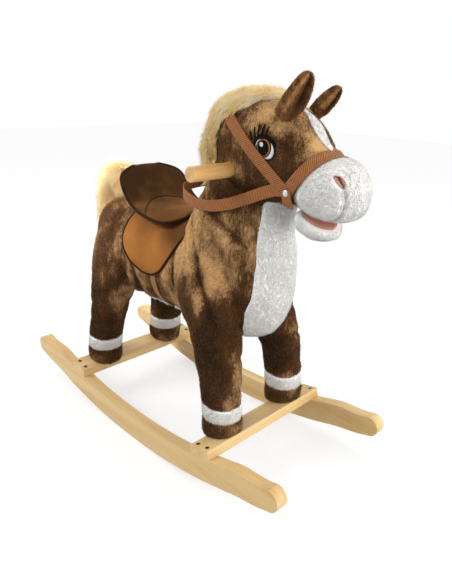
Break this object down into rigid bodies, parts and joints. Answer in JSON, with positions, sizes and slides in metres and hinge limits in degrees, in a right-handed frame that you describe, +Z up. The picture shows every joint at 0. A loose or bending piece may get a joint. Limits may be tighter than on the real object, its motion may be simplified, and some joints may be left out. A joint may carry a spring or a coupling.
{
  "type": "rocking horse",
  "caption": "Plush rocking horse on curved wooden rockers, with a dowel handle, saddle, bridle and a moving mouth and tail.",
  "frame": {"origin": "middle of the horse on the floor, where the rocking edges touch it at rest", "axes": "+Z up; the horse looks along -Y and its right side is on -X"},
  "size_m": [0.28, 0.675, 0.6205],
  "materials": {
    "rocker_wood": "clear satin lacquer on pale pine",
    "crossbar_wood": "clear satin lacquer on pale pine",
    "screw_steel": "blackened",
    "frame_wood": "raw sawn pine",
    "handle_wood": "glossy clear lacquer",
    "drive_plastic": "moulded",
    "pin_steel": "plain",
    "cell_metal": "printed sleeve left plain",
    "plush_brown": "short pile plush",
    "plush_white": "short pile plush",
    "plush_pink": "flocked lining",
    "eye_stitching": "satin-stitched embroidery",
    "fur_blonde": "long pile fur",
    "saddle_suede": "suede",
    "flap_suede": "suede",
    "webbing": "ribbed webbing",
    "rivet_steel": "polished",
    "button_red": "moulded"
  },
  "bodies": {
    "horse": {"rocker_right": "rocker_wood", "rocker_left": "rocker_wood", "front_crossbar": "crossbar_wood", "rear_crossbar": "crossbar_wood", "crossbar_screws": "screw_steel", "post_screws": "screw_steel", "front_right_post": "frame_wood", "front_left_post": "frame_wood", "rear_right_post": "frame_wood", "rear_left_post": "frame_wood", "front_bolster": "frame_wood", "rear_bolster": "frame_wood", "spine_board": "frame_wood", "neck_post": "frame_wood", "frame_screws": "screw_steel", "handle_bar": "handle_wood", "head_bracket": "frame_wood", "jaw_motor": "drive_plastic", "jaw_pin": "pin_steel", "tail_motor": "drive_plastic", "sound_module": "drive_plastic", "battery_box": "drive_plastic", "battery_cover": "drive_plastic", "battery_cells": "cell_metal", "torso": "plush_brown", "neck": "plush_brown", "head": "plush_brown", "front_right_leg": "plush_brown", "front_left_leg": "plush_brown", "rear_right_leg": "plush_brown", "rear_left_leg": "plush_brown", "front_cuffs": "plush_white", "rear_cuffs": "plush_white", "front_hooves": "plush_brown", "rear_hooves": "plush_brown", "bib": "plush_white", "belly_panel": "plush_white", "pocket_flap": "plush_white", "blaze": "plush_white", "muzzle": "plush_white", "nostrils": "plush_pink", "palate": "plush_pink", "right_ear": "plush_brown", "left_ear": "plush_brown", "eyes": "eye_stitching", "mane": "fur_blonde", "saddle_pad": "flap_suede", "saddle_seat": "saddle_suede", "girth_strap": "webbing", "headstall": "webbing", "noseband": "webbing", "chin_strap": "webbing", "rivets": "rivet_steel", "rein": "webbing"},
    "jaw": {"lower_jaw": "plush_white", "tongue": "plush_pink", "jaw_lever": "drive_plastic"},
    "tail": {"tail": "fur_blonde", "tail_peg": "drive_plastic"},
    "sound_button": {"sound_button": "button_red"}
  },
  "joints": [
    {"name": "mouth", "type": "hinge", "parent": "horse", "child": "jaw", "pos_m": [0, -0.228, 0.457], "axis": [1, 0, 0], "range_deg": [-4, 8]},
    {"name": "tail_swing", "type": "hinge", "parent": "horse", "child": "tail", "pos_m": [0, 0.19, 0.38], "axis": [0, 0, 1], "range_deg": [-15, 15]},
    {"name": "button_press", "type": "slide", "parent": "horse", "child": "sound_button", "axis": [1, 0, 0], "range_m": [0, 0.0015], "stiffness_N_per_m": 300}
  ]
}
